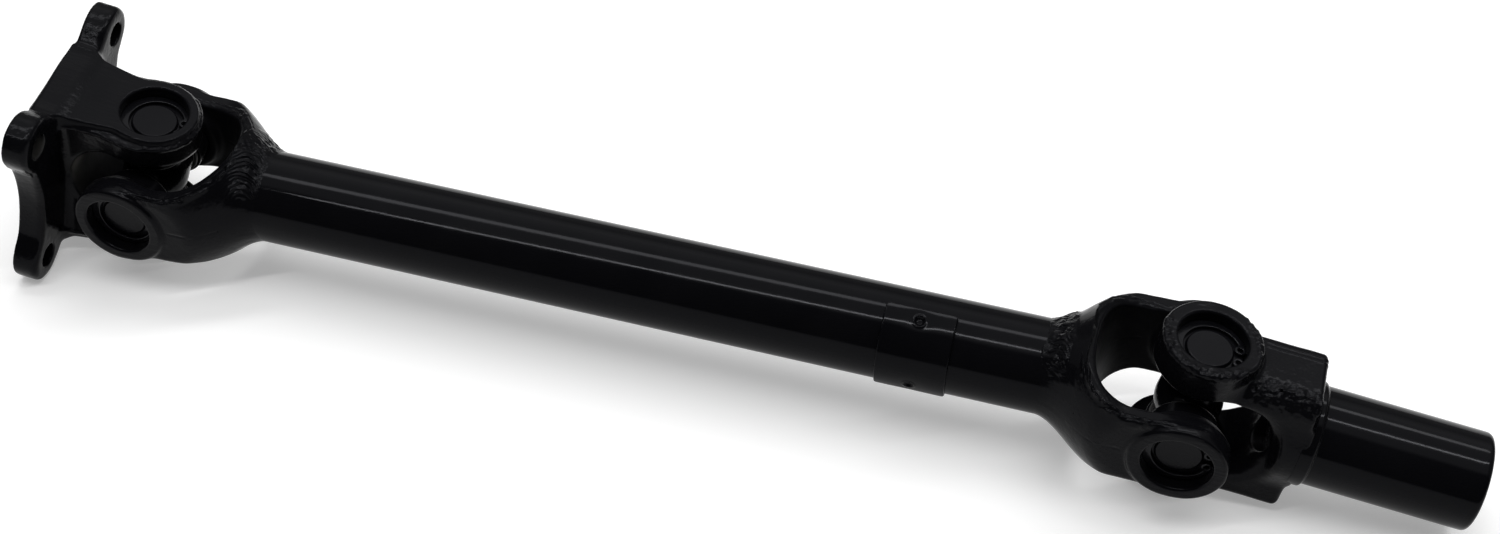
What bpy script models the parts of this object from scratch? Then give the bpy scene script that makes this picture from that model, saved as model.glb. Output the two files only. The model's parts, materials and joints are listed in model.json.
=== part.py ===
"""A universal joint shaft: a steel tube between two cardan joints.

One joint carries a four-bolt flange yoke and the other an internally splined slip yoke.
Sizes are in millimetres and are turned into metres where the meshes are made.
X runs along the tube from the flange end to the slip end, Z is up, and the shaft lies on the ground.
In each joint the tube yoke holds the cross along Y, and the end yoke holds it along Z.
"""

import math

import bmesh
import bpy
from mathutils import Matrix, Vector

MM = 0.001

# Overall sizes
JOINT_SPAN = 434.2
TUBE_DIAMETER = 38.1
LUG_SPAN = 70.8
CUP_DIAMETER = 26.4
FLANGE_DEPTH = 43.2
SLIP_LENGTH = 112.2

# How the end yokes hang from the straight line of the tube, in degrees
FRONT_TILT = 9.3
FRONT_SWING = 1.95
REAR_TILT = 5.82

# Clearances: between fixed pieces, at a trunnion's end, and between one yoke's arms and the other's
FIT = 0.3
RUN = 0.4
SIDE = 2.6

# Tube and welds
TUBE_WALL = 2.0
WELD_LENGTH = 10.0
WELD_RIPPLE = 0.25

# Tube yokes
TUBE_ARM = 9.9
TUBE_ARM_HALF = 16.6
TUBE_LUG_WALL = 5.5
TUBE_LUG_TRIM = 17.2
TUBE_LUG_PROUD = 2.0
TUBE_HUB_END = 46.0
TUBE_HUB_STEP = 4.1
TUBE_THROAT = 38.0
SPIGOT_LENGTH = 14.0

# Slip yoke
SLIP_ARM = 14.4
SLIP_LUG_WALL = 6.0
SLIP_LUG_PROUD = 5.5
SLIP_HALF = 15.0
SLIP_THROAT = 32.0
SLIP_BASE_END = 44.5
SLIP_COLLAR = 4.0
SLIP_COLLAR_STEP = 1.3
BARREL_DIAMETER = 39.0
BARREL_ROUND = 2.5
SPLINE_MAJOR = 28.4
SPLINE_MINOR = 25.4
SPLINE_TEETH = 16
SPLINE_LENGTH = 52.0
RELIEF_STEP = 0.5
PLUG_DIAMETER = 23.4
PLUG_THICKNESS = 2.2
PLUG_DEPTH = 0.6

# Flange yoke
FLANGE_ARM = 15.6
FLANGE_LUG_WALL = 6.0
FLANGE_THROAT = 31.0
FLANGE_PLATE = 10.0
FLANGE_BULGE = 2.0
EAR_Y = 34.5
EAR_Z = 32.5
EAR_RADIUS = 10.2
EAR_HOLE = 10.2
FLANGE_WAIST = 35.7
PILOT_DIAMETER = 47.0
PILOT_DEPTH = 2.5

# Crosses and bearings
CUP_RECESS = 6.8
CUP_WALL = 2.6
CUP_FLOOR = 3.0
NEEDLE_COUNT = 12
NEEDLE_SIZE = 2.0
SEAL_THICKNESS = 1.3
SEAL_STEP = 1.0
CLIP_THICKNESS = 1.1
CLIP_WIDTH = 3.6
GROOVE_DEPTH = 0.8
CROSS_SHOULDER = 3.0

# Balance weight, its angles in degrees from straight up towards the -Y side
WEIGHT_POSITION = 328.2
WEIGHT_LENGTH = 28.6
WEIGHT_THICKNESS = 1.4
WEIGHT_ANGLES = (8.0, 122.0)
WEIGHT_SPOTS = (23.6, 106.0)
WEIGHT_SPOT_DIAMETER = 4.4

# Facets in a full turn
FINE = 32
ROUND = 20

# Sizes that follow from the ones above
TUBE_RADIUS = TUBE_DIAMETER / 2
LUG_FACE = LUG_SPAN / 2
CUP_RADIUS = CUP_DIAMETER / 2
BORE_RADIUS = CUP_RADIUS + FIT
CUP_END = LUG_FACE - CUP_RECESS
CUP_BORE = CUP_RADIUS - CUP_WALL
CUP_INSIDE = CUP_END - CUP_FLOOR
NEEDLE_OUTER = CUP_BORE - FIT
NEEDLE_INNER = NEEDLE_OUTER - NEEDLE_SIZE
TRUNNION_RADIUS = NEEDLE_INNER - FIT
TRUNNION_END = CUP_INSIDE - RUN
SEAL_RADIUS = CUP_RADIUS - SEAL_STEP
SHOULDER = SEAL_RADIUS + FIT
SEAL_START = SHOULDER + FIT
CUP_START = SEAL_START + SEAL_THICKNESS + FIT
CLIP_START = CUP_END + FIT
LUG_INSIDE = BORE_RADIUS + max(SLIP_LUG_WALL, FLANGE_LUG_WALL) + SIDE
GROOVE_RADIUS = BORE_RADIUS + GROOVE_DEPTH
CLIP_RADIUS = GROOVE_RADIUS - FIT


def arc(centre, radius, start, end, steps):
    """Points along an arc, with its angles in degrees; radius may be a pair for an ellipse."""
    across, up = radius if isinstance(radius, tuple) else (radius, radius)
    points = []
    for step in range(steps + 1):
        angle = math.radians(start + (end - start) * step / steps)
        points.append((centre[0] + across * math.cos(angle), centre[1] + up * math.sin(angle)))
    return points


def rounded_box(half_width, half_height, corner, steps=3):
    """Outline of a rectangle about the origin with round corners."""
    points = []
    for quarter, (side, top) in enumerate(((1, 1), (-1, 1), (-1, -1), (1, -1))):
        centre = (side * (half_width - corner), top * (half_height - corner))
        points += arc(centre, corner, 90 * quarter, 90 * quarter + 90, steps)
    return points


def finished(bm, name):
    """Mesh datablock of a closed bmesh, with its faces turned outwards."""
    bmesh.ops.recalc_face_normals(bm, faces=bm.faces[:])
    mesh = bpy.data.meshes.new(name)
    bm.to_mesh(mesh)
    bm.free()
    return mesh


def turned(profile, segments, name="turned"):
    """Solid or ring from (along, radius) points spun once round the X axis.

    A profile that starts on the axis also ends on it; any other is closed on itself.
    """
    bm = bmesh.new()
    verts = [bm.verts.new((along * MM, 0.0, radius * MM)) for along, radius in profile]
    pairs = list(zip(verts, verts[1:]))
    if profile[0][1] > 0.0:
        pairs.append((verts[-1], verts[0]))
    edges = [bm.edges.new(pair) for pair in pairs]
    bmesh.ops.spin(
        bm, geom=verts + edges, cent=(0, 0, 0), axis=(1, 0, 0),
        angle=2 * math.pi, steps=segments, use_merge=True,
    )
    bmesh.ops.remove_doubles(bm, verts=bm.verts[:], dist=1e-6)
    return finished(bm, name)


def extruded(outline, low, high, axis, name="extruded"):
    """Solid from an outline drawn square to an axis: (y, z) for X, (x, z) for Y, (x, y) for Z."""
    def point(first, second, along):
        if axis == "X":
            place = (along, first, second)
        elif axis == "Y":
            place = (first, along, second)
        else:
            place = (first, second, along)
        return Vector(place) * MM

    bm = bmesh.new()
    face = bm.faces.new([bm.verts.new(point(first, second, low)) for first, second in outline])
    grown = bmesh.ops.extrude_face_region(bm, geom=[face])
    moved = [item for item in grown["geom"] if isinstance(item, bmesh.types.BMVert)]
    bmesh.ops.translate(bm, verts=moved, vec=point(0, 0, high - low))
    return finished(bm, name)


def along_axis(mesh, axis):
    """The same mesh with its own X axis laid along Y or Z."""
    turn = Matrix.Rotation(math.pi / 2, 4, "Z") if axis == "Y" else Matrix.Rotation(-math.pi / 2, 4, "Y")
    mesh.transform(turn)
    return mesh


def shifted(mesh, x=0.0, y=0.0, z=0.0):
    mesh.transform(Matrix.Translation(Vector((x, y, z)) * MM))
    return mesh


def combined(base, steps, name):
    """Mesh left when each (operation, mesh) of a row is applied to the base in turn."""
    scene = bpy.context.scene.collection
    body = bpy.data.objects.new("body", base)
    scene.objects.link(body)
    tools = []
    for operation, mesh in steps:
        tool = bpy.data.objects.new("tool", mesh)
        tool.hide_render = True
        tool.display_type = "WIRE"
        scene.objects.link(tool)
        tools.append(tool)
        cut = body.modifiers.new("cut", "BOOLEAN")
        cut.operation = operation
        cut.solver = "EXACT"
        cut.object = tool
    graph = bpy.context.evaluated_depsgraph_get()
    mesh = bpy.data.meshes.new_from_object(body.evaluated_get(graph))
    mesh.name = name
    for extra in tools + [body]:
        bpy.data.objects.remove(extra, do_unlink=True)
    bm = bmesh.new()
    bm.from_mesh(mesh)
    bmesh.ops.remove_doubles(bm, verts=bm.verts[:], dist=2e-6)
    bmesh.ops.dissolve_limit(
        bm, angle_limit=math.radians(0.3), verts=bm.verts[:], edges=bm.edges[:]
    )
    bm.to_mesh(mesh)
    bm.free()
    return mesh


def bearing_bore(axis):
    """Cutter for a yoke's two bearing bores, with a circlip groove and a mouth chamfer in each."""
    groove = (CUP_END, CLIP_START + CLIP_THICKNESS + FIT)
    half = [
        (groove[0], BORE_RADIUS),
        (groove[0], GROOVE_RADIUS),
        (groove[1], GROOVE_RADIUS),
        (groove[1], BORE_RADIUS),
        (LUG_FACE - 0.6, BORE_RADIUS),
        (LUG_FACE + 3.0, BORE_RADIUS + 3.6),
        (LUG_FACE + 3.0, 0.0),
    ]
    profile = [(-along, radius) for along, radius in reversed(half)] + half
    return along_axis(turned(profile, ROUND), axis)


def tube_yoke():
    """Weld yoke: a domed fork whose hub ends in a spigot that fits inside the tube."""
    lug = BORE_RADIUS + TUBE_LUG_WALL
    swing = math.hypot(LUG_FACE, TUBE_LUG_TRIM)
    hub = TUBE_RADIUS + TUBE_HUB_STEP
    inner = max(LUG_FACE - TUBE_ARM, LUG_INSIDE + 0.5)
    dome_start = 0.3 * TUBE_HUB_END

    side = arc((0, 0), lug - 0.6, 57, 303, 12)
    flare = []
    for step in range(6):
        share = step / 5
        ease = share * share * (3 - 2 * share)
        x = 20 + (TUBE_HUB_END + 2 - 20) * share
        flare.append((x, TUBE_ARM_HALF + (hub + 1.5 - TUBE_ARM_HALF) * ease))
    side = [(x, z) for x, z in reversed(flare)] + side + [(x, -z) for x, z in flare]

    dome = [(-lug - 6, 0.0), (-lug - 6, swing), (dome_start, swing)]
    for step in range(1, 7):
        share = step / 6
        x = dome_start + (TUBE_HUB_END - dome_start) * share
        dome.append((x, hub + (swing - hub) * math.cos(share * math.pi / 2)))
    dome.append((TUBE_HUB_END, 0.0))

    throat = [(-lug - 8, -inner)]
    throat += arc((14, 0), (TUBE_THROAT - 14, inner), -90, 90, 12)
    throat.append((-lug - 8, inner))

    rim = math.sqrt(swing * swing - lug * lug)
    boss = [
        (LUG_INSIDE, 0.0),
        (LUG_INSIDE, lug - 2.4),
        (inner + 2, lug),
        (rim, lug),
        (LUG_FACE, TUBE_LUG_TRIM),
        (LUG_FACE, 0.0),
    ]
    spigot_radius = TUBE_RADIUS - TUBE_WALL - FIT
    spigot_end = TUBE_HUB_END + SPIGOT_LENGTH
    spigot = [
        (TUBE_HUB_END - 4, 0.0),
        (TUBE_HUB_END - 4, spigot_radius),
        (spigot_end - 1.5, spigot_radius),
        (spigot_end, spigot_radius - 1.5),
        (spigot_end, 0.0),
    ]
    steps = [
        ("INTERSECT", turned(dome, 24)),
        ("DIFFERENCE", extruded(throat, -60, 60, "Z")),
        ("UNION", along_axis(turned(boss, ROUND), "Y")),
        ("UNION", along_axis(turned([(-x, r) for x, r in boss], ROUND), "Y")),
        ("DIFFERENCE", bearing_bore("Y")),
        ("UNION", turned(spigot, ROUND)),
    ]
    arm_face = LUG_FACE - TUBE_LUG_PROUD
    return combined(extruded(side, -arm_face, arm_face, "Y"), steps, "tube_yoke")


def spline_outline():
    """Outline of the splined bore: straight-sided teeth standing inwards."""
    points = []
    pitch = 360 / SPLINE_TEETH
    for tooth in range(SPLINE_TEETH):
        points += arc((0, 0), SPLINE_MAJOR / 2, (tooth - 0.29) * pitch, (tooth + 0.29) * pitch, 1)
        points += arc((0, 0), SPLINE_MINOR / 2, (tooth + 0.38) * pitch, (tooth + 0.62) * pitch, 1)
    return points


def slip_yoke():
    """Fork with proud round lugs whose base carries a barrel bored and splined for a sliding shaft."""
    lug = BORE_RADIUS + SLIP_LUG_WALL
    inner = LUG_FACE - SLIP_ARM
    outer = LUG_FACE - SLIP_LUG_PROUD
    barrel = BARREL_DIAMETER / 2
    collar_end = SLIP_BASE_END + SLIP_COLLAR
    plug_seat = PLUG_DIAMETER / 2 + FIT
    plug_floor = SLIP_THROAT + PLUG_DEPTH + PLUG_THICKNESS + 1.0
    spline_start = SLIP_LENGTH - SPLINE_LENGTH
    relief = SPLINE_MAJOR / 2 + RELIEF_STEP

    side = [(-8, outer)]
    side += arc((SLIP_BASE_END - 5, outer - 5), 5, 90, 0, 4)
    side += arc((SLIP_BASE_END - 5, 5 - outer), 5, 0, -90, 4)
    side.append((-8, -outer))

    lugs = [
        (-LUG_FACE, 0.0),
        (-LUG_FACE, lug - 0.8),
        (0.8 - LUG_FACE, lug),
        (LUG_FACE - 0.8, lug),
        (LUG_FACE, lug - 0.8),
        (LUG_FACE, 0.0),
    ]
    throat = [(-lug - 8, -inner)]
    throat += arc((SLIP_THROAT - inner, 0), inner, -90, 90, 12)
    throat.append((-lug - 8, inner))

    sleeve = [
        (SLIP_THROAT + 4, 0.0),
        (SLIP_THROAT + 4, barrel + 0.6),
        (SLIP_BASE_END + 0.4, barrel + SLIP_COLLAR_STEP),
        (collar_end - 0.8, barrel + SLIP_COLLAR_STEP),
        (collar_end, barrel),
    ]
    sleeve += arc((SLIP_LENGTH - BARREL_ROUND, barrel - BARREL_ROUND), BARREL_ROUND, 90, 0, 3)
    sleeve.append((SLIP_LENGTH, 0.0))
    mouth = [
        (SLIP_LENGTH - 2.2, 0.0),
        (SLIP_LENGTH - 2.2, SPLINE_MINOR / 2 - 0.5),
        (SLIP_LENGTH + 2, SPLINE_MAJOR / 2 + 2.9),
        (SLIP_LENGTH + 2, 0.0),
    ]
    hollow = [
        (SLIP_THROAT - 12, 0.0),
        (SLIP_THROAT - 12, plug_seat),
        (plug_floor, plug_seat),
        (plug_floor + 3, relief),
        (spline_start, relief),
        (spline_start, 0.0),
    ]
    steps = [
        ("INTERSECT", extruded(side, -40, 40, "Y")),
        ("UNION", along_axis(turned(lugs, 24), "Z")),
        ("UNION", turned(sleeve, FINE)),
        ("DIFFERENCE", extruded(throat, -40, 40, "Y")),
        ("DIFFERENCE", bearing_bore("Z")),
        ("DIFFERENCE", turned(hollow, ROUND)),
        ("DIFFERENCE", extruded(spline_outline(), spline_start - 1, SLIP_LENGTH + 1, "X")),
        ("DIFFERENCE", turned(mouth, ROUND)),
    ]
    block = extruded(rounded_box(SLIP_HALF, outer + 0.5, 4.5), -7, SLIP_BASE_END + 1, "X")
    return combined(block, steps, "slip_yoke")


def flange_outline():
    """Outline of the flange plate: an ear round each bolt hole, waisted sides, bulged top and bottom."""
    top = LUG_FACE + FLANGE_BULGE
    reach = EAR_RADIUS * math.cos(math.radians(-52)) + EAR_Y
    low = EAR_Z + EAR_RADIUS * math.sin(math.radians(-52))
    quarter = [(FLANGE_WAIST, 0.0)]
    for share in (0.35, 0.7):
        quarter.append((FLANGE_WAIST + (reach - FLANGE_WAIST) * share * share, low * share))
    quarter += arc((EAR_Y, EAR_Z), EAR_RADIUS, -52, 140, 8)
    last_y, last_z = quarter[-1]
    foot = last_y - 5.5
    quarter.append((last_y - 1.2, top + 0.35 * (last_z - top)))
    quarter.append((last_y - 3.0, top + 0.1 * (last_z - top)))
    quarter.append((foot, top))
    mirrored = [(-y, z) for y, z in reversed(quarter)]
    upper = quarter + mirrored
    lower = [(-y, -z) for y, z in upper[1:-1]]
    return upper + lower


def flange_yoke():
    """Fork with flat-topped arms standing on a four-eared bolting flange."""
    half = BORE_RADIUS + FLANGE_LUG_WALL
    inner = LUG_FACE - FLANGE_ARM
    plate_inner = FLANGE_PLATE - FLANGE_DEPTH

    plan = [(-FLANGE_DEPTH + 0.5, -half), (-FLANGE_DEPTH + 0.5, half)]
    plan = arc((0, 0), half, -90, 90, 14) + plan[::-1]
    throat = [(half + 8, inner)]
    throat += arc((inner - FLANGE_THROAT, 0), inner, 90, 270, 12)
    throat.append((half + 8, -inner))
    pilot = [
        (-FLANGE_DEPTH - 2, 0.0),
        (-FLANGE_DEPTH - 2, PILOT_DIAMETER / 2),
        (PILOT_DEPTH - FLANGE_DEPTH, PILOT_DIAMETER / 2),
        (PILOT_DEPTH - FLANGE_DEPTH, 0.0),
    ]
    hole = [
        (-FLANGE_DEPTH - 2, 0.0),
        (-FLANGE_DEPTH - 2, EAR_HOLE / 2),
        (plate_inner + 4, EAR_HOLE / 2),
        (plate_inner + 4, 0.0),
    ]
    steps = [
        ("INTERSECT", extruded(rounded_box(half + 0.2, LUG_FACE, 3.5), -FLANGE_DEPTH + 1.0, half + 2, "X")),
        ("DIFFERENCE", extruded(throat, -60, 60, "Y")),
        ("UNION", extruded(flange_outline(), -FLANGE_DEPTH, plate_inner, "X")),
        ("DIFFERENCE", turned(pilot, 24)),
        ("DIFFERENCE", bearing_bore("Z")),
    ]
    for side in (1, -1):
        for top in (1, -1):
            steps.append(("DIFFERENCE", shifted(turned(hole, 12), y=side * EAR_Y, z=top * EAR_Z)))
    return combined(extruded(plan, -60, 60, "Z"), steps, "flange_yoke")


def cross():
    """Four-armed journal cross: two turned bars through a round body."""
    body = TRUNNION_RADIUS + CROSS_SHOULDER
    half = [
        (SHOULDER, body),
        (SHOULDER, TRUNNION_RADIUS),
        (TRUNNION_END - 0.8, TRUNNION_RADIUS),
        (TRUNNION_END, TRUNNION_RADIUS - 0.8),
        (TRUNNION_END, 0.0),
    ]
    profile = [(-along, radius) for along, radius in reversed(half)] + half
    second = along_axis(turned(profile, 14), "Z")
    second.transform(Matrix.Rotation(math.radians(4), 4, "Z"))
    ball = turned(arc((0, 0), body * 1.19, 180, 0, 8), 16)
    ball.transform(Matrix.Rotation(math.radians(3), 4, "X"))
    steps = [("UNION", second), ("UNION", ball)]
    return combined(along_axis(turned(profile, 14), "Y"), steps, "cross")


def cup():
    """Bearing cup, closed at its outer end."""
    profile = [
        (CUP_INSIDE, 0.0),
        (CUP_INSIDE, CUP_BORE),
        (CUP_START, CUP_BORE),
        (CUP_START, CUP_RADIUS - 0.4),
        (CUP_START + 0.4, CUP_RADIUS),
        (CUP_END - 0.8, CUP_RADIUS),
        (CUP_END, CUP_RADIUS - 0.8),
        (CUP_END, 0.0),
    ]
    return turned(profile, ROUND, "cup")


def seal():
    """Rubber ring between the cross's shoulder and the cup's mouth."""
    end = SEAL_START + SEAL_THICKNESS
    profile = [
        (SEAL_START, TRUNNION_RADIUS + FIT),
        (end, TRUNNION_RADIUS + FIT),
        (end, SEAL_RADIUS),
        (SEAL_START, SEAL_RADIUS - 0.5),
    ]
    return turned(profile, 16, "seal")


def needles():
    """Needle rollers of one cup as a fluted sleeve, joined where they touch."""
    start = CUP_START + 0.5
    end = CUP_INSIDE - RUN
    flute = 0.3 * NEEDLE_SIZE
    bm = bmesh.new()
    loops = []
    for radius, flutes in ((NEEDLE_INNER, flute), (NEEDLE_OUTER, -flute)):
        loop = []
        for step in range(2 * NEEDLE_COUNT):
            angle = math.pi * step / NEEDLE_COUNT
            reach = radius + flutes * (step % 2)
            place = Vector((start, reach * math.cos(angle), reach * math.sin(angle)))
            loop.append(bm.verts.new(place * MM))
        loops.append([bm.edges.new(pair) for pair in zip(loop, loop[1:] + loop[:1])])
    ring = bmesh.ops.bridge_loops(bm, edges=loops[0] + loops[1])["faces"]
    grown = bmesh.ops.extrude_face_region(bm, geom=ring)
    moved = [item for item in grown["geom"] if isinstance(item, bmesh.types.BMVert)]
    bmesh.ops.translate(bm, verts=moved, vec=Vector((end - start, 0, 0)) * MM)
    return finished(bm, "needles")


def circlip():
    """Inside circlip: an open ring with two ears, its gap towards its own Z axis."""
    inside = CLIP_RADIUS - CLIP_WIDTH
    ear = inside - 1.9
    outline = arc((0, 0), CLIP_RADIUS, 108, 432, 18)
    outline += arc((0, 0), ear, 432, 418, 2)
    outline += arc((0, 0), inside, 413, 127, 14)
    outline += arc((0, 0), ear, 122, 108, 2)
    return extruded(outline, CLIP_START, CLIP_START + CLIP_THICKNESS, "X", "circlip")


def weld():
    """Fillet weld between a tube yoke's hub and the tube, with a rippled surface."""
    start = TUBE_HUB_END + FIT
    inner = TUBE_RADIUS + FIT
    rise = TUBE_HUB_STEP - FIT
    profile = [
        (start, inner),
        (start, inner + 0.88 * rise),
        (start + 0.2 * WELD_LENGTH, inner + 0.85 * rise),
        (start + 0.6 * WELD_LENGTH, inner + 0.45 * rise),
        (start + WELD_LENGTH, inner + 0.5),
        (start + WELD_LENGTH, inner),
    ]
    mesh = turned(profile, 32, "weld")
    for vert in mesh.vertices:
        radius = math.hypot(vert.co.y, vert.co.z)
        crest = vert.co.x > (start + 0.05) * MM and radius > (inner + 0.7) * MM
        step = round(math.atan2(vert.co.z, vert.co.y) * 16 / math.pi)
        if crest and step % 2:
            vert.co.yz = vert.co.yz * (1 - WELD_RIPPLE * MM / radius)
    return mesh


def tube():
    """Plain tube between the two weld yokes."""
    start = TUBE_HUB_END + FIT
    end = JOINT_SPAN - start
    bore = TUBE_RADIUS - TUBE_WALL
    return turned([(start, bore), (end, bore), (end, TUBE_RADIUS), (start, TUBE_RADIUS)], FINE, "tube")


def balance_weight():
    """Curved plate spot-welded round part of the tube."""
    low = TUBE_RADIUS + FIT
    start, end = WEIGHT_ANGLES
    section = arc((0, 0), low + WEIGHT_THICKNESS, 90 + start, 90 + end, 16)
    section += arc((0, 0), low, 90 + end, 90 + start, 16)
    half = WEIGHT_LENGTH / 2
    steps = []
    for spot in WEIGHT_SPOTS:
        floor = low + WEIGHT_THICKNESS * 0.45
        mouth = low + WEIGHT_THICKNESS + 0.8
        radius = WEIGHT_SPOT_DIAMETER / 2
        pit = turned([(floor, 0.0), (floor, 0.5 * radius), (mouth, 1.3 * radius), (mouth, 0.0)], 12)
        pit.transform(Matrix.Rotation(math.radians(spot), 4, "X") @ Matrix.Rotation(-math.pi / 2, 4, "Y"))
        steps.append(("DIFFERENCE", pit))
    return combined(extruded(section, -half, half, "X"), steps, "balance_weight")


def plug():
    """Domed disc pressed into the slip yoke's base, closing the inner end of its bore."""
    start = SLIP_THROAT + PLUG_DEPTH
    radius = PLUG_DIAMETER / 2
    profile = [
        (start + 0.6, 0.0),
        (start, radius * 0.5),
        (start, radius),
        (start + PLUG_THICKNESS, radius),
        (start + PLUG_THICKNESS, radius * 0.5),
        (start + PLUG_THICKNESS + 0.6, 0.0),
    ]
    return turned(profile, ROUND, "plug")


def finish(name, colour, roughness, metallic):
    material = bpy.data.materials.new(name)
    material.use_nodes = True
    shader = material.node_tree.nodes["Principled BSDF"]
    shader.inputs["Base Color"].default_value = (*colour, 1.0)
    shader.inputs["Roughness"].default_value = roughness
    shader.inputs["Metallic"].default_value = metallic
    return material


def empty(name, parent=None, place=(0.0, 0.0, 0.0), tilt=0.0, swing=0.0):
    item = bpy.data.objects.new(name, None)
    item.empty_display_size = 0.03
    item.parent = parent
    item.location = Vector(place) * MM
    item.rotation_euler = (0.0, math.radians(tilt), math.radians(swing))
    bpy.context.scene.collection.objects.link(item)
    return item


def add(name, mesh, parent, material, turn=None, x=0.0):
    """Places a named piece under its parent, with an optional turn and a step along X."""
    item = bpy.data.objects.new(name, mesh)
    bpy.context.scene.collection.objects.link(item)
    item.parent = parent
    place = Matrix.Translation((x * MM, 0.0, 0.0))
    item.matrix_local = place @ turn.to_4x4() if turn else place
    mesh.shade_smooth()
    mesh.set_sharp_from_angle(angle=math.radians(38))
    if not mesh.materials:
        mesh.materials.append(None)
    item.material_slots[0].link = "OBJECT"
    item.material_slots[0].material = material
    return item


def facing(direction):
    """Turn that lays a bearing piece's own X axis along a direction and its Z axis along the shaft."""
    along = Vector(direction)
    ear = Vector((1.0, 0.0, 0.0))
    return Matrix((along, ear.cross(along), ear)).transposed()


def settle(root):
    """Stands the shaft on the ground with its tube over the X axis and its length centred."""
    bpy.context.view_layer.update()
    low = Vector((1e9, 1e9, 1e9))
    high = -low
    for item in bpy.context.scene.objects:
        if item.type == "MESH":
            for vert in item.data.vertices:
                place = item.matrix_world @ vert.co
                low = Vector(map(min, low, place))
                high = Vector(map(max, high, place))
    root.location = (-(low.x + high.x) / 2, 0.0, -low.z)


def build():
    for item in list(bpy.data.objects):
        bpy.data.objects.remove(item, do_unlink=True)

    black = (0.012, 0.012, 0.013)
    turned_round = Matrix.Rotation(math.pi, 3, "Z")

    root = empty("shaft")
    front = empty("front_joint", root)
    rear = empty("rear_joint", root, (JOINT_SPAN, 0.0, 0.0))
    front_spider = empty("front_spider", front, tilt=FRONT_TILT)
    rear_spider = empty("rear_spider", rear, tilt=REAR_TILT)
    flange_end = empty("flange_end", front_spider, swing=FRONT_SWING)
    slip_end = empty("slip_end", rear_spider)

    yoke_mesh = tube_yoke()
    weld_mesh = weld()
    add("shaft_tube", tube(), root, finish("shaft_tube_paint", black, 0.22, 0.0))
    add("front_tube_yoke", yoke_mesh, front, finish("front_tube_yoke_paint", black, 0.3, 0.0))
    add("rear_tube_yoke", yoke_mesh, rear, finish("rear_tube_yoke_paint", black, 0.3, 0.0), turned_round)
    add("front_weld", weld_mesh, front, finish("front_weld_paint", black, 0.35, 0.0))
    add("rear_weld", weld_mesh, rear, finish("rear_weld_paint", black, 0.35, 0.0), turned_round)
    weight_paint = finish("balance_weight_paint", black, 0.25, 0.0)
    add("balance_weight", balance_weight(), root, weight_paint, x=WEIGHT_POSITION)
    add("flange_yoke", flange_yoke(), flange_end, finish("flange_yoke_paint", black, 0.3, 0.0))
    add("slip_yoke", slip_yoke(), slip_end, finish("slip_yoke_paint", black, 0.3, 0.0))
    add("slip_yoke_plug", plug(), slip_end, finish("slip_yoke_plug_paint", black, 0.35, 0.0))

    cross_mesh = cross()
    add("front_cross", cross_mesh, front_spider, finish("front_cross_paint", black, 0.35, 0.0))
    add("rear_cross", cross_mesh, rear_spider, finish("rear_cross_paint", black, 0.35, 0.0))

    pieces = {
        "cup": (cup(), black, 0.35, 0.0),
        "circlip": (circlip(), (0.03, 0.03, 0.032), 0.35, 0.4),
        "seal": (seal(), (0.015, 0.015, 0.015), 0.7, 0.0),
        "needles": (needles(), (0.55, 0.55, 0.56), 0.25, 1.0),
    }
    sides = {"left": (0, 1, 0), "right": (0, -1, 0), "top": (0, 0, 1), "bottom": (0, 0, -1)}
    for joint, fixed, hung in (("front", front, flange_end), ("rear", rear, slip_end)):
        for side, direction in sides.items():
            parent = hung if side in ("top", "bottom") else fixed
            for kind, (mesh, colour, roughness, metallic) in pieces.items():
                name = f"{joint}_{side}_{kind}"
                surface = finish(f"{name}_finish", colour, roughness, metallic)
                add(name, mesh, parent, surface, facing(direction))

    settle(root)


build()
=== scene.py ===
"""Looks of a universal joint shaft in black gloss paint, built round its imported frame.

Sizes are in millimetres and become metres where a mesh is made. Each yoke is drawn about its own joint's centre.
The tube lies along X, the flange end is at the -X end, and Z is up.
"""

import json
import math
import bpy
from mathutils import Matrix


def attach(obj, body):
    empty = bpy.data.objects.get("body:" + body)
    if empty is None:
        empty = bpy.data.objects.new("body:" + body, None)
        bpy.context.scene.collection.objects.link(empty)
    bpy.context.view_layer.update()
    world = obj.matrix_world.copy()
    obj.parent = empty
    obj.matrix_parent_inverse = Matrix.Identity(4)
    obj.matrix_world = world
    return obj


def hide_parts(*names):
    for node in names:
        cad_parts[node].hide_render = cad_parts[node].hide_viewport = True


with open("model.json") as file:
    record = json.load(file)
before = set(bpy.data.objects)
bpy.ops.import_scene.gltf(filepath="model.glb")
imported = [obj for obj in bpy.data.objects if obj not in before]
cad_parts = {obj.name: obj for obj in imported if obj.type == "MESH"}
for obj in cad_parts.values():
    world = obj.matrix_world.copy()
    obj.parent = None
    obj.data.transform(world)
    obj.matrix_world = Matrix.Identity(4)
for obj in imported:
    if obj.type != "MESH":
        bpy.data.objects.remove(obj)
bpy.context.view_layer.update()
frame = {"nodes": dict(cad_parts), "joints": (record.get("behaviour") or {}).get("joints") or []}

from concurrent.futures import ThreadPoolExecutor
from functools import partial

import bpy
import numpy as np
from mathutils import Matrix

MM = 0.001

# Sizes shared with the frame
JOINT_SPAN = 434.2
TUBE_RADIUS = 19.05
TUBE_WALL = 2.0
TUBE_START = 46.3
LUG_FACE = 35.4
BORE_RADIUS = 13.5
BORE_BREAK = 0.7
GROOVE_RADIUS = 14.3
GROOVE_HALF = 0.85
CUP_RADIUS = 13.2
CUP_START = 14.4
CUP_END = 28.6
CUP_BORE = 10.6
CUP_INSIDE = 25.6
CLIP_LOW = 28.9
CLIP_HIGH = 30.0
CLIP_MIDDLE = 29.45
CLIP_HALF = 0.55
CLIP_RADIUS = 14.0
SEAL_START = 12.8
SEAL_END = 14.1
SEAL_RADIUS = 12.2
TRUNNION_RADIUS = 8.0
TRUNNION_END = 25.2
CROSS_BALL = 13.1
CROSS_BAR = 11.0
CROSS_SHOULDER = 12.5
FRONT_TILT = 9.3
FRONT_SWING = 1.95
REAR_TILT = 5.82

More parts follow.
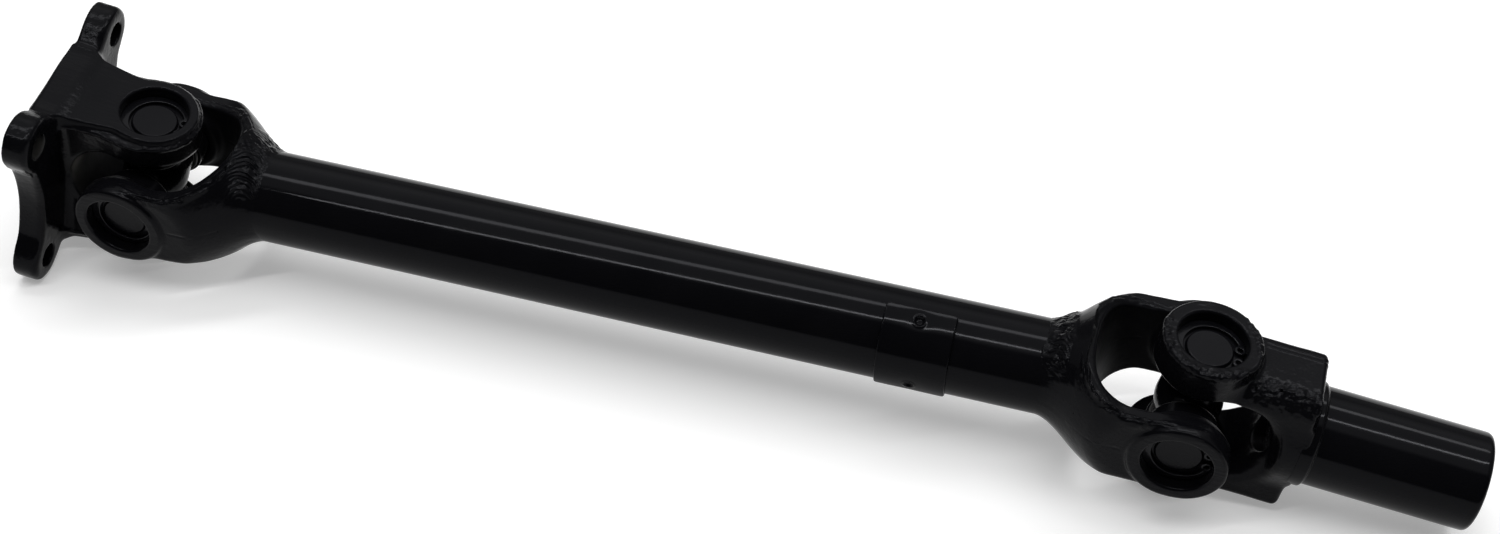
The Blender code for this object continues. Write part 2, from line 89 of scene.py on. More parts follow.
# Tube yokes
HUB_RADIUS = {"front": 22.0, "rear": 24.0}
DOME_POWER = {"front": 1.0, "rear": 0.9}
LUG_FLAT = {"front": 19.6, "rear": 17.3}
THROAT_SQUARE = {"front": 2.2, "rear": 3.1}
THROAT_DRAFT = {"front": 0.0, "rear": 2.2}
FLASH_OUT = 2.6
FLASH_SHIFT = 2.4
FLASH_PITCH = 1.9
FLASH_HEIGHT = 0.8
SEAM_HEIGHT = 0.8
SEAM_DEPTH = 0.22
HUB_END = 46.0
DOME_RADIUS = 39.8
DOME_START = 13.8
DOME_OFF = (0.3, 0.2)
ARM_HALF = 17.0
ARM_FACE = 33.8
ARM_INSIDE = 25.5
LUG_INSIDE = 22.1
LUG_RADIUS = 19.0
LUG_ROOT = 18.3
BOSS_ROOT = 16.8
THROAT_START = 14.0
THROAT_END = 38.0
SPIGOT_RADIUS = 16.75
SPIGOT_START = 40.0
SPIGOT_END = 60.0
WELD_START = 41.0
WELD_END = {"front": 54.4, "rear": 57.6}
WELD_PUDDLES = 60
WELD_INSIDE = 18.8

# Flange yoke
PLATE_BACK = -43.9
PLATE_FRONT = -33.2
PLATE_TOP = 37.4
WAIST = 35.7
EAR_Y = 34.5
EAR_Z = 32.5
EAR_RADIUS = 11.0
EAR_HOLE = 5.1
PILOT_RADIUS = 23.5
PILOT_FLOOR = -40.7
FLANGE_INSIDE = 19.8
FLANGE_THROAT = -29.6
FLANGE_ARM = 18.6
FLANGE_LUG = 19.5
PAD_ROOT = 19.0
PAD_RADIUS = 17.4
LEDGE_HEIGHT = 33.5
PARTING_HEIGHT = 31.9

# Slip yoke
SLIP_HALF = 15.0
SLIP_TOP = 29.9
SLIP_INSIDE = 19.9
SLIP_THROAT = 32.0
SLIP_START = -7.0
SLIP_END = 44.9
SLIP_BASE = 20.5
SLIP_LUG = 19.5
BARREL_RADIUS = 19.5
BARREL_START = 43.2
BARREL_END = 113.0
COLLAR_RADIUS = 20.8
COLLAR_END = 48.5
SPLINE_TEETH = 16
SPLINE_MAJOR = 14.2
SPLINE_MINOR = 12.7
SPLINE_START = 60.2
RELIEF_RADIUS = 14.7
PLUG_RADIUS = 11.7

# Balance weight
WEIGHT_CENTRE = 328.2
WEIGHT_LENGTH = 28.6
WEIGHT_LOW = 19.35
WEIGHT_THICKNESS = 1.4
WEIGHT_ANGLES = (8.0, 122.0)
WEIGHT_SPOTS = (23.6, 106.0)
WEIGHT_CORNER = 1.6
WEIGHT_EDGE = 0.6


# Joining of fields, each negative inside its solid

def merge(a, b, k):
    """Union of two fields with a fillet: the lower value, less a parabola where they differ by less than k."""
    h = np.maximum(k - np.abs(a - b), 0) / k
    return np.minimum(a, b) - h * h * (k / 4)


def overlap(a, b, k):
    """What two fields share, its edge rounded over k."""
    return -merge(-a, -b, k)


def carve(a, b, k):
    """The first field with the second cut away, the edge rounded over k."""
    return -merge(-a, b, k)


def ramp(value, low, high):
    """Smooth step from 0 at low to 1 at high: 3t^2 - 2t^3."""
    t = np.clip((value - low) / (high - low), 0, 1)
    return t * t * (3 - 2 * t)


def hump(value, middle, width):
    """Bell curve, 1 at its middle: e to the minus square of the distance from it in widths."""
    return np.exp(-np.square((value - middle) / width))


TABLE = np.random.default_rng(7).uniform(-1, 1, 4096).astype(np.float32)
HASH_PRIMES = (73856093, 19349663, 83492791)


def grain(x, y, z, size, seed=0):
    """Value noise: random heights from -1 to 1 at the corners of a lattice of that size, eased between the corners."""
    cell, part = [], []
    for place, shift in zip((x, y, z), (0.37, 0.61, 0.83)):
        scaled = np.asarray(place, np.float64) / size + shift + 17.3 * seed
        low = np.floor(scaled)
        cell.append(low.astype(np.int64))
        rest = scaled - low
        part.append(rest * rest * (3 - 2 * rest))
    total = 0.0
    for corner in range(8):
        step = (corner & 1, corner >> 1 & 1, corner >> 2)
        key = 0
        for low, up, prime in zip(cell, step, HASH_PRIMES):
            key = key ^ (low + up) * prime
        weight = 1.0
        for share, up in zip(part, step):
            weight = weight * (share if up else 1 - share)
        total = total + weight * TABLE[(key + seed * 977) & 4095]
    return total


# Meshes

def mesh_object(name, verts, faces, normals=None, **layers):
    """Object from arrays: places in millimetres, groups of triangles or quads, and vertex normals.

    Without given normals each is the area-weighted mean of its faces' normals, so flat faces beside rounds stay flat.
    """
    verts = np.asarray(verts, np.float64)
    if normals is None:
        normals = np.zeros_like(verts)
        for group in faces:
            corners = verts[group]
            area = np.cross(corners[:, 2] - corners[:, 0], corners[:, -1] - corners[:, 1])
            for side in range(group.shape[1]):
                np.add.at(normals, group[:, side], area)
    normals = normals / np.maximum(np.linalg.norm(normals, axis=1, keepdims=True), 1e-12)
    sizes = np.concatenate([np.full(len(group), group.shape[1]) for group in faces])
    loops = np.concatenate([group.ravel() for group in faces])
    mesh = bpy.data.meshes.new(name)
    mesh.vertices.add(len(verts))
    mesh.vertices.foreach_set("co", (verts * MM).astype(np.float32).ravel())
    mesh.loops.add(len(loops))
    mesh.loops.foreach_set("vertex_index", loops.astype(np.int32))
    mesh.polygons.add(len(sizes))
    mesh.polygons.foreach_set("loop_start", np.concatenate([[0], np.cumsum(sizes)[:-1]]).astype(np.int32))
    mesh.update(calc_edges=True)
    mesh.shade_smooth()
    mesh.normals_split_custom_set_from_vertices(normals.astype(np.float32))
    for key, values in layers.items():
        layer = mesh.attributes.new(key, "FLOAT", "POINT")
        layer.data.foreach_set("value", np.asarray(values, np.float32))
    item = bpy.data.objects.new(name, mesh)
    bpy.context.scene.collection.objects.link(item)
    return item


def sheet_faces(rows, columns, close_rows=False, close_columns=True):
    """Quads between neighbouring points of a grid of rows and columns, closed round either way."""
    row = np.arange(rows if close_rows else rows - 1)[:, None]
    column = np.arange(columns if close_columns else columns - 1)[None, :]
    below = (row + 1) % rows
    beside = (column + 1) % columns
    corners = (row * columns + column, row * columns + beside, below * columns + beside, below * columns + column)
    return np.stack([np.broadcast_to(c, np.broadcast_shapes(row.shape, column.shape)).ravel() for c in corners], 1)


CORNERS = np.array([[c & 1, c >> 1 & 1, c >> 2] for c in range(8)])
EDGES = [(a, b) for a in range(8) for b in range(a + 1, 8) if bin(a ^ b).count("1") == 1]


def skinned(field, low, high, step, relax=2):
    """Skin of the solid where a field is negative, as (places, quads, normals).

    One point lies in each grid cell that the surface crosses, at the mean of the crossings on the cell's edges, and
    one quad goes round each grid edge that it crosses. The points are evened out along the surface and slid against
    the field's slope to where it is zero. Normals are the slope itself.
    """
    axes = [np.arange(a - 2 * step, b + 3 * step, step) for a, b in zip(low, high)]

    def slab(part):
        sides = [a.astype(np.float32) for a in (part, *axes[1:])]
        grid = np.meshgrid(*sides, indexing="ij", sparse=True)
        return np.broadcast_to(field(*grid, fine=False), [len(a) for a in sides]).astype(np.float32)

    with ThreadPoolExecutor(4) as pool:
        values = np.concatenate(list(pool.map(slab, np.array_split(axes[0], 12))))
    inside = values < 0
    shape = np.array(values.shape)
    count = sum(
        inside[tuple(slice(c, n - 1 + c) for c, n in zip(offset, shape))].astype(np.int8) for offset in CORNERS
    )
    crossed = (count > 0) & (count < 8)
    cells = np.argwhere(crossed)
    index = np.full(crossed.shape, -1, np.int64)
    index[crossed] = np.arange(len(cells))
    corner = [values[tuple((cells + offset).T)].astype(np.float64) for offset in CORNERS]
    place = np.zeros((len(cells), 3))
    hits = np.zeros(len(cells))
    for a, b in EDGES:
        hit = (corner[a] < 0) != (corner[b] < 0)
        share = corner[a] / np.where(hit, corner[a] - corner[b], 1)
        place += hit[:, None] * (CORNERS[a] + share[:, None] * (CORNERS[b] - CORNERS[a]))
        hits += hit
    origin = np.array([a[0] for a in axes])
    verts = origin + step * (cells + place / hits[:, None])
    quads = []
    for axis in range(3):
        first, second = np.eye(3, dtype=int)[[(axis + 1) % 3, (axis + 2) % 3]]
        ahead = np.roll(inside, -1, axis)
        edge = np.argwhere(inside != ahead)
        edge = edge[edge[:, axis] < shape[axis] - 1]
        quad = np.stack([index[tuple((edge - move).T)] for move in (first + second, second, 0 * first, first)], 1)
        solid_low = inside[tuple(edge.T)]
        quads.append(np.where(solid_low[:, None], quad, quad[:, ::-1]))
    quads = np.concatenate(quads)

    def slope(p, h=0.02):
        """Field's slope, from its difference over a small step each way."""
        sides = [field(*(p + h * d).T, fine=True) - field(*(p - h * d).T, fine=True) for d in np.eye(3)]
        return np.stack(sides, 1) / (2 * h)

    def settled(p, rounds):
        """Points moved along the slope by the field over the slope's square, in a few rounds."""
        for _ in range(rounds):
            rise = slope(p)
            move = field(*p.T, fine=True) / np.maximum((rise * rise).sum(1), 0.05)
            p = p - np.clip(move, -0.5, 0.5)[:, None] * rise
        return p

    verts = settled(verts, 2)
    ends = np.concatenate([quads[:, [0, 1, 2, 3]], quads[:, [1, 2, 3, 0]]], 1).reshape(-1, 2, 4)
    start, finish = ends[:, 0].ravel(), ends[:, 1].ravel()
    total = np.bincount(start, minlength=len(verts)) + np.bincount(finish, minlength=len(verts))
    for _ in range(relax):
        mean = np.stack([
            np.bincount(start, verts[finish, axis], len(verts)) + np.bincount(finish, verts[start, axis], len(verts))
            for axis in range(3)
        ], 1) / total[:, None]
        verts = settled(verts + 0.6 * (mean - verts), 1)
    verts = settled(verts, 2)
    return verts, quads, slope(verts)


def turn_about(axis, degrees):
    """Matrix of a turn about X, Y or Z."""
    return np.array(Matrix.Rotation(math.radians(degrees), 3, axis))


FRONT = np.array(next(j for j in frame["joints"] if j["name"] == "front_pitch")["pos_m"]) / MM
REAR = np.array(next(j for j in frame["joints"] if j["name"] == "rear_pitch")["pos_m"]) / MM
POSTURES = {
    "front": (np.eye(3), FRONT),
    "rear": (turn_about("Z", 180), REAR),
    "front_level": (np.eye(3), FRONT),
    "rear_level": (np.eye(3), REAR),
    "flange": (turn_about("Y", FRONT_TILT) @ turn_about("Z", FRONT_SWING), FRONT),
    "slip": (turn_about("Y", REAR_TILT), REAR),
    "front_cross": (turn_about("Y", FRONT_TILT), FRONT),
    "rear_cross": (turn_about("Y", REAR_TILT), REAR),
}


def placed(posture, verts, normals=None):
    """Places and normals turned and moved from a joint's own axes to the frame's."""
    turn, origin = POSTURES[posture]
    moved = verts @ turn.T + origin
    return moved if normals is None else (moved, normals @ turn.T)


# Materials

# Pale grey mixed into the paint's colour as painted light: a light patch painted on the surface
PAINTED_LIGHT_GREY = (0.15, 0.146, 0.135, 1.0)
DRY_ROUGHNESS = 0.55
CUT_DEPTH = 0.13
JAG_DEPTH = 0.42


def new_material(name):
    """Node material, with its tree and its shader."""
    material = bpy.data.materials.new(name)
    material.use_nodes = True
    return material, material.node_tree, material.node_tree.nodes["Principled BSDF"]


def node(tree, kind, inputs, **settings):
    """New node with its settings; each input takes a plain value or a link from another node's output."""
    item = tree.nodes.new(f"ShaderNode{kind}")
    for key, value in settings.items():
        setattr(item, key, value)
    for key, value in inputs.items():
        if isinstance(value, bpy.types.NodeSocket):
            tree.links.new(value, item.inputs[key])
        else:
            item.inputs[key].default_value = value
    return item


def sums(tree, operation, a, b):
    """Output of a sum on two values."""
    return node(tree, "Math", {0: a, 1: b}, operation=operation).outputs["Value"]


def spanned(tree, value, low, high, start=0.0, end=1.0):
    """Output of a value carried from one span to another, held at the ends."""
    limits = {"Value": value, "From Min": low, "From Max": high, "To Min": start, "To Max": end}
    return node(tree, "MapRange", limits).outputs["Result"]


def paint(name, shade, rough, spread, coat_grain, scars, streaks=0.0, speckle=0.25, index=1.15):
    """Black enamel over steel.

    Its roughness drifts over centimetres and in fine specks; its bump is a ripple of the coat, streaks along X, and
    the forged skin under it. Where the mesh's worked layer is 1 that skin gives way to fine cuts along X, where torn
    is 1 it is jagged, where dull is 1 the paint is dry, and a last layer mixes in a pale grey as painted light.
    """
    material, tree, shader = new_material(name)
    shader.inputs["IOR"].default_value = index
    shader.inputs["Specular Tint"].default_value = (0.93, 0.94, 1.0, 1.0)
    spot = node(tree, "TexCoord", {}).outputs["Object"]
    add_up = partial(sums, tree, "ADD")
    scale = partial(sums, tree, "MULTIPLY")

    def noise(size, detail, stretch=None):
        place = node(tree, "Mapping", {"Vector": spot, "Scale": stretch}).outputs["Vector"] if stretch else spot
        return node(tree, "TexNoise", {"Vector": place, "Scale": 1 / (size * MM), "Detail": detail}).outputs["Fac"]

    def layer(key):
        return node(tree, "Attribute", {}, attribute_name=key).outputs["Fac"]

    def blended(share, a, b):
        return node(tree, "Mix", {"Factor": share, "A": a, "B": b}, data_type="RGBA").outputs["Result"]

    drift = noise(26.0, 3.0)
    cool = (shade * 0.85, shade * 0.86, shade * 1.1, 1.0)
    warm = (shade * 1.15, shade * 1.15, shade * 1.4, 1.0)
    tone = blended(spanned(tree, drift, 0.35, 0.7), cool, warm)
    # Painted light: the mesh's last layer mixes a pale grey into the colour
    tree.links.new(blended(layer("thin"), tone, PAINTED_LIGHT_GREY), shader.inputs["Base Color"])
    gloss = spanned(tree, drift, 0.3, 0.7, rough - spread, rough + spread)
    gloss = add_up(gloss, spanned(tree, noise(0.7, 4.0), 0.55, 0.8, 0.0, speckle * spread * 4))
    height = scale(noise(3.2, 2.0), coat_grain)
    if scars:
        skin = add_up(noise(1.5, 5.0), scale(noise(5.0, 2.0), 1.2))
        worked = layer("worked")
        height = add_up(height, scale(skin, spanned(tree, worked, 0.0, 1.0, scars, scars * 0.2)))
        cuts = scale(noise(1.5, 3.0, (0.05, 1.0, 1.0)), scale(worked, CUT_DEPTH))
        jags = scale(noise(2.0, 2.0), scale(layer("torn"), JAG_DEPTH))
        height = add_up(add_up(height, cuts), jags)
        gloss = sums(tree, "MAXIMUM", gloss, scale(layer("dull"), DRY_ROUGHNESS))
    tree.links.new(gloss, shader.inputs["Roughness"])
    if streaks:
        height = add_up(height, scale(noise(2.2, 3.0, (0.06, 1.0, 1.0)), streaks))
    bump = node(tree, "Bump", {"Strength": 1.0, "Distance": MM, "Height": height})
    tree.links.new(bump.outputs["Normal"], shader.inputs["Normal"])
    return material


def fine_grained(name, shade, rough, metallic, pebbles=0.0):
    """Ground steel or moulded rubber: its roughness and shade drift in fine specks, and rubber has a pebbled bump."""
    material, tree, shader = new_material(name)
    shader.inputs["Metallic"].default_value = metallic
    spot = node(tree, "TexCoord", {}).outputs["Object"]
    specks = node(tree, "TexNoise", {"Vector": spot, "Scale": 900.0, "Detail": 5.0}).outputs["Fac"]
    tone = node(tree, "ValToRGB", {"Fac": specks})
    tone.color_ramp.elements[0].color = (shade * 0.8, shade * 0.8, shade * 0.82, 1.0)
    tone.color_ramp.elements[1].color = (shade * 1.1, shade * 1.1, shade * 1.1, 1.0)
    tree.links.new(tone.outputs["Color"], shader.inputs["Base Color"])
    tree.links.new(spanned(tree, specks, 0.0, 1.0, rough * 0.7, rough * 1.4), shader.inputs["Roughness"])
    if pebbles:
        bump = node(tree, "Bump", {"Strength": 0.3, "Distance": pebbles * MM, "Height": specks})
        tree.links.new(bump.outputs["Normal"], shader.inputs["Normal"])
    return material


TUBE_PAINT = paint("tube_gloss_black", 0.0028, 0.09, 0.02, 0.010, 0.0, 0.003)
FORGING_PAINT = paint("forging_gloss_black", 0.0030, 0.17, 0.035, 0.03, 0.085)
WELD_PAINT = paint("weld_gloss_black", 0.0030, 0.13, 0.03, 0.03, 0.06)
CUP_PAINT = paint("cup_gloss_black", 0.0034, 0.2, 0.03, 0.02, 0.03, index=1.16)
CLIP_PAINT = paint("clip_black", 0.0036, 0.18, 0.03, 0.02, 0.02, index=1.22)
NEEDLE_STEEL = fine_grained("needle_ground_steel", 0.55, 0.22, 1.0)
SEAL_RUBBER = fine_grained("seal_black_rubber", 0.012, 0.55, 0.0, pebbles=0.1)


def add(item, material, body, slot, *nodes):
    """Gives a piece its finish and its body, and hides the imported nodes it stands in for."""
    item.data.materials.append(material)
    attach(item, body)
    if nodes:
        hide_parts(*nodes)
    return item


# Forged yokes and crosses

def bored(solid, ring, along):
    """A lug's bearing bore with its circlip groove and a broken mouth edge, cut from a field."""
    solid = carve(solid, ring - BORE_RADIUS, 0.5)
    solid = carve(solid, (ring - BORE_RADIUS - (along - LUG_FACE + BORE_BREAK)) * 0.707, 0.4)
    groove = overlap(ring - GROOVE_RADIUS, np.abs(along - CLIP_MIDDLE) - GROOVE_HALF, 0.1)
    return carve(solid, groove, 0.12)


def in_bore(ring):
    """1 in a lug's bore and on its mouth, 0 outside."""
    return 1 - ramp(ring, BORE_RADIUS + 0.9, BORE_RADIUS + 1.3)


def on_face(along):
    """1 at the height of a lug's face, 0 below."""
    return ramp(along, LUG_FACE - 0.5, LUG_FACE - 0.2)


def hub_dome(x, end):
    """Radius of a tube yoke's dome at a place along it: round over the lugs, easing by a cosine to the hub."""
    share = np.clip((x - DOME_START) / (HUB_END - DOME_START), 0, 1)
    fall = np.maximum(np.cos(share * math.pi / 2), 0) ** DOME_POWER[end]
    return HUB_RADIUS[end] + (DOME_RADIUS - HUB_RADIUS[end]) * fall


def arm_edge(x, near, z):
    """Height over a tube yoke arm's top or bottom face, which rises towards the hub."""
    return np.abs(z) - (ARM_HALF + 0.9 * ramp(-near, 12.0, 24.0) + 8.0 * ramp(x, 20.0, 48.0))


def throat_gap(x, across, z, end):
    """Distance outside a tube yoke's throat: straight between the lugs, then half a squarish ellipse.

    The rear throat's end has a draft: it is shallower low down.
    """
    square = THROAT_SQUARE[end]
    depth = THROAT_END - THROAT_START - THROAT_DRAFT[end] * ramp(-z, -8.0, 14.0)
    bend = np.maximum(x - THROAT_START, 0.0) / depth
    wide = np.abs(across) / ARM_INSIDE
    return ((bend ** square + wide ** square) ** (1 / square) - 1) * ARM_INSIDE


def near_side(y, end):
    """Distance towards the side where the weight's lower spot lies; the rear yoke is turned half round."""
    return -y if end == "front" else y


def flash_line(x, y, z, end, fine=True):
    """Height, 1 at a crest, of the two lips left where flash was torn off round the throat, on top of the arms.

    Each lip is a ridge of a triangle wave, its crest off its middle, so that the longer flank leans to the near side.
    They lie further out on the near arm and are lower on the far one, and their line wanders with noise.
    """
    near = near_side(y, end)
    run = throat_gap(x, near - FLASH_SHIFT, z, end) - FLASH_OUT
    if fine:
        run = run - 0.7 * grain(x, y, z, 6.0, 4) - 0.3 * grain(x, y, z, 2.6, 9)
    tooth = run / FLASH_PITCH - np.floor(run / FLASH_PITCH)
    crest = 0.3 + 0.4 * ramp(-near, -8.0, 8.0)
    lip = np.minimum(tooth / crest, (1 - tooth) / (1 - crest)) * (np.abs(run - FLASH_PITCH) < FLASH_PITCH)
    lip = lip * (0.3 + 0.7 * ramp(near, -14.0, 2.0))
    return lip * hump(arm_edge(x, near, z), 0.0, 2.2) * ramp(x, 2.0, 5.0) * ramp(z, 0.0, 8.0)


def tube_yoke_field(x, y, z, end, fine=True):
    """Domed fork: an arm outline in XZ, a dome spun round X, a squarish throat in XY, and a boss round each bore.

    A torn flash line runs round the throat on top of the arms, and a faint seam along their outer faces.
    """
    near = near_side(y, end)
    across, high = np.abs(y), np.abs(z)
    ring = np.hypot(x, z)
    dome = np.hypot(near + DOME_OFF[0], z - DOME_OFF[1]) - hub_dome(x, end)
    lug = overlap(ring - LUG_ROOT, high - LUG_FLAT[end], 2.0)
    outline = merge(overlap(arm_edge(x, near, z), -x - 2.0, 3.0), lug, 5.0)
    solid = overlap(overlap(outline, dome, 2.4), across - ARM_FACE, 2.4)
    solid = overlap(solid, x - HUB_END, 1.0)
    solid = carve(solid, throat_gap(x, across, z, end), 1.6)
    height = FLASH_HEIGHT
    if fine:
        height = height * (1 + 0.9 * grain(x, y, z, 2.2, 3) + 0.45 * grain(x, y, z, 1.2, 14))
    solid = solid - height * flash_line(x, y, z, end, fine)
    boss = overlap(ring - LUG_RADIUS, across - LUG_FACE, 1.5)
    boss = overlap(boss, high - LUG_FLAT[end] - 2.4 * ramp(across, 29.5, 32.0), 1.5)
    boss = overlap(boss, ring - BOSS_ROOT - 0.47 * (across - LUG_INSIDE), 1.0)
    boss = overlap(overlap(boss, LUG_INSIDE - across, 1.0), np.hypot(y, z) - DOME_RADIUS, 0.8)
    solid = bored(merge(solid, boss, 2.0), ring, across)
    spigot = overlap(overlap(np.hypot(y, z) - SPIGOT_RADIUS, x - SPIGOT_END, 1.5), SPIGOT_START - x, 0.5)
    solid = merge(solid, spigot, 0.4)
    if fine:
        forged = 1 - tube_yoke_worked(x, y, z)
        seam = hump(z, SEAM_HEIGHT, 0.5) * ramp(x, 20.0, 23.0) * ramp(across, 17.0, 21.0)
        seam = SEAM_DEPTH * seam * (0.4 + 0.9 * grain(x, y, z, 4.0, 6))
        solid = solid + forged * (seam - skin_waves(x, y, z))
    return solid


def tube_yoke_dull(x, y, z, end):
    """1 inside the throat, where the paint is a dry overspray, 0 outside."""
    return 1 - ramp(throat_gap(x, y, z, end), 0.2, 1.6)


def skin_waves(x, y, z):
    """Unevenness of a forged skin: a few hundredths of a millimetre at three sizes."""
    return 0.09 * grain(x, y, z, 9.0, 1) + 0.032 * grain(x, y, z, 3.6, 2) + 0.015 * grain(x, y, z, 1.6, 5)


def tube_yoke_worked(x, y, z):
    """1 on the machined lug faces, bores and spigot, 0 on the forged skin."""
    lug = np.maximum(on_face(np.abs(y)), in_bore(np.hypot(x, z)))
    return np.maximum(lug, ramp(x, HUB_END - 1, HUB_END))


def round_throat(x, z, end, inside):
    """Distance outside a throat that runs straight between two arms and ends there in a half circle."""
    return np.hypot(np.maximum(x - (end - inside), 0.0), z) - inside


def ear_reach(y, z):
    """Distance from the nearest bolt hole's axis; the ears stand further out on top and on the far side."""
    far = ramp(y, 0.0, 20.0)
    return np.hypot(np.abs(y) - EAR_Y - 1.6 * far, np.abs(z) - EAR_Z - (0.8 + 0.5 * far) * ramp(z, 0.0, 10.0))


def flange_yoke_field(x, y, z, fine=True):
    """Fork with flat-topped arms on a four-eared plate: outlines in YZ for the plate and in XY for the arms."""
    across, high = np.abs(y), np.abs(z)
    ring = np.hypot(x, y)
    lean = np.clip(high / 24.5, 0, 1)
    ear = ear_reach(y, z)
    crown = PLATE_TOP - 0.6 - 0.8 * np.square(np.minimum(across, 19.0) / 19.0)
    web = 5.0 + 6.0 * ramp(high - across, -6.0, 2.0)
    outline = merge(overlap(across - (WAIST + 5.1 * lean * lean), high - crown, 3.0), ear - EAR_RADIUS, web)
    back_round = 1.0 + 2.6 * ramp(-y, -14.0, 8.0) * ramp(z, 20.0, 30.0) * (1 - ramp(across, 20.0, 27.0))
    plate = overlap(overlap(outline, x - PLATE_FRONT, 3.2), PLATE_BACK - x, back_round)
    draft = 0.12 * np.maximum(32.0 - high, 0.0)
    plan = merge(overlap(across - FLANGE_ARM + draft, x, 2.0), ring - FLANGE_LUG + 0.5 * draft, 6.0)
    taper = PAD_ROOT - 4.0 * np.clip((x + 36.0) / 27.0, 0, 1)
    pad = merge(overlap(across - taper, x + 5.0, 2.0), ring - PAD_RADIUS, 3.0)
    ledge = LEDGE_HEIGHT - 0.42 * np.maximum(pad, 0.0)
    if fine:
        ledge = ledge + 0.45 * flange_yoke_torn(x, y, z) * grain(x, y, z, 2.0, 9)
    fork = overlap(plan, high - ledge, 1.4)
    rise = LUG_FACE + (np.maximum(crown, LUG_FACE) + 0.1 - LUG_FACE) * ramp(-x, 18.0, 35.0)
    pad = overlap(overlap(pad + 0.35 * (high - rise), high - rise, 0.6), 31.0 - high, 0.5)
    fork = overlap(merge(fork, pad, 0.5), PLATE_BACK + 0.4 - x, back_round)
    fork = carve(fork, round_throat(-x, z, -FLANGE_THROAT, FLANGE_INSIDE), 2.0 + 1.8 * ramp(-y, -6.0, 6.0))
    solid = bored(merge(plate, fork, 5.0), ring, high)
    solid = carve(solid, overlap(np.hypot(y, z) - PILOT_RADIUS, x - PILOT_FLOOR, 0.6), 0.5)
    solid = carve(solid, ear - EAR_HOLE, 0.9)
    if fine:
        forged = 1 - 0.8 * flange_yoke_worked(x, y, z)
        seam = hump(high, PARTING_HEIGHT, 0.7) * ramp(x, -32.0, -28.0) * ramp(across, 9.0, 14.0)
        solid = solid - forged * skin_waves(x, y, z) - seam * (0.35 + 0.3 * grain(x, y, z, 2.4, 8))
    return solid


def flange_yoke_torn(x, y, z):
    """1 on the torn parting line round the end of each lug, and less on the scuffed rounds of the ears."""
    high = np.abs(z)
    line = ramp(high, 30.5, 32.5) * (1 - ramp(high, 34.2, 35.0)) * ramp(np.hypot(x, y), 17.0, 18.0)
    scuff = 0.3 * ramp(np.abs(y), 26.0, 30.0) * ramp(high, 36.0, 40.0)
    return np.maximum(line * ramp(x, -8.0, 10.0), scuff)


def flange_yoke_dull(x, y, z):
    """1 inside the throat, where the paint is a dry overspray, 0 outside."""
    return 1 - ramp(round_throat(-x, z, -FLANGE_THROAT, FLANGE_INSIDE), 0.2, 1.6)


def flange_yoke_thin(x, y, z):
    """Painted light: 1 in the middle of a pale patch painted on the near side of the throat's end, and low in one bolt
    hole as a painted glimpse of the pale floor.
    """
    patch = hump(y, -11.0, 7.5) * hump(z, 5.0, 9.0) * flange_yoke_dull(x, y, z)
    wall = 1 - ramp(ear_reach(y, z), EAR_HOLE + 0.2, EAR_HOLE + 0.7)
    hole = wall * ramp(-y, 0.0, 9.0) * ramp(z, 20.0, 22.0) * ramp(EAR_Z - z, -2.5, 1.5)
    return np.maximum(patch, 0.22 * hole) * (0.8 + 0.4 * grain(x, y, z, 5.0, 21))


def flange_yoke_worked(x, y, z):
    """1 on the bolting face, the flat tops of the arms and in the bores, 0 on the forged skin."""
    top = on_face(np.abs(z)) * (1 - ramp(np.abs(y), 17.0, 19.5))
    bore = in_bore(np.hypot(x, y))
    return np.maximum(np.maximum(top, bore), 1 - ramp(x, PLATE_BACK + 0.6, PLATE_BACK + 1.6))


def slip_yoke_field(x, y, z, fine=True):
    """Fork with proud round lugs on a rounded block, which swells into the round base that carries the barrel."""
    across, high = np.abs(y), np.abs(z)
    ring = np.hypot(x, y)
    spun = np.hypot(y, z)
    round_near = ramp(-y, -8.0, 8.0)
    flare = 1.6 + 3.2 * ramp(x, 12.0, 26.0)
    half = SLIP_HALF + 0.7 * round_near + (1 - round_near) * (0.2 + flare * ramp(-z, 4.0, 18.0))
    block = overlap(across - half, high - SLIP_TOP, 3.4 + 9.0 * round_near * ramp(z, 0.0, 12.0))
    block = overlap(overlap(block, x - SLIP_END, 2.6), SLIP_START - x, 2.0)
    base = overlap(overlap(spun - SLIP_BASE, x - SLIP_END - 0.4, 1.2), 35.0 - x, 4.0)
    block = merge(block, base, 4.5)
    lug = overlap(ring - SLIP_LUG, high - LUG_FACE, 1.8)
    solid = merge(block, lug, 2.6)
    solid = carve(solid, round_throat(x, z, SLIP_THROAT, SLIP_INSIDE), 2.2 + 5.0 * round_near * ramp(x, 15.0, 29.0))
    solid = carve(solid, overlap(ring - 19.0, high - 22.2, 2.0), 1.0)
    solid = bored(solid, ring, high)
    solid = carve(solid, overlap(spun - PLUG_RADIUS - 0.3, 20.0 - x, 0.5), 0.6)
    if fine:
        lumps = grain(x, y, z, 2.0, 11) + 0.5 * grain(x, y, z, 1.2, 12) + 0.25
        lines = hump(y, 11.5, 0.5) + hump(y, 9.2, 0.4)
        forged = 1 - slip_yoke_worked(x, y, z)
        solid = solid - forged * skin_waves(x, y, z) - 0.55 * lumps * slip_yoke_torn(x, y, z)
        solid = solid - 0.16 * lines * ramp(z, 20.0, 24.0) * ramp(x, 19.0, 23.0)
    return solid


def slip_yoke_torn(x, y, z):
    """1 on the rough forged band along one upper edge of the block and on part of the upper lug's rim."""
    ring = np.hypot(x, y)
    band = hump(y, -10.8, 4.0) * ramp(z, 20.0, 23.0) * ramp(x, 16.0, 20.0)
    rim = hump(ring, 17.6, 2.0) * ramp(z, 32.5, 34.0)
    rim = rim * np.maximum(ramp(-y - 0.5 * x, 1.0, 7.0), ramp(x + 0.4 * y, 16.0, 18.0))
    return np.maximum(band, rim)


def slip_yoke_dull(x, y, z):
    """1 inside the throat between the arms, where the paint is a dry overspray, 0 outside and on the throat's end."""
    return (1 - ramp(round_throat(x, z, SLIP_THROAT, SLIP_INSIDE), 0.1, 0.9)) * (1 - 0.8 * ramp(x, 14.0, 22.0))


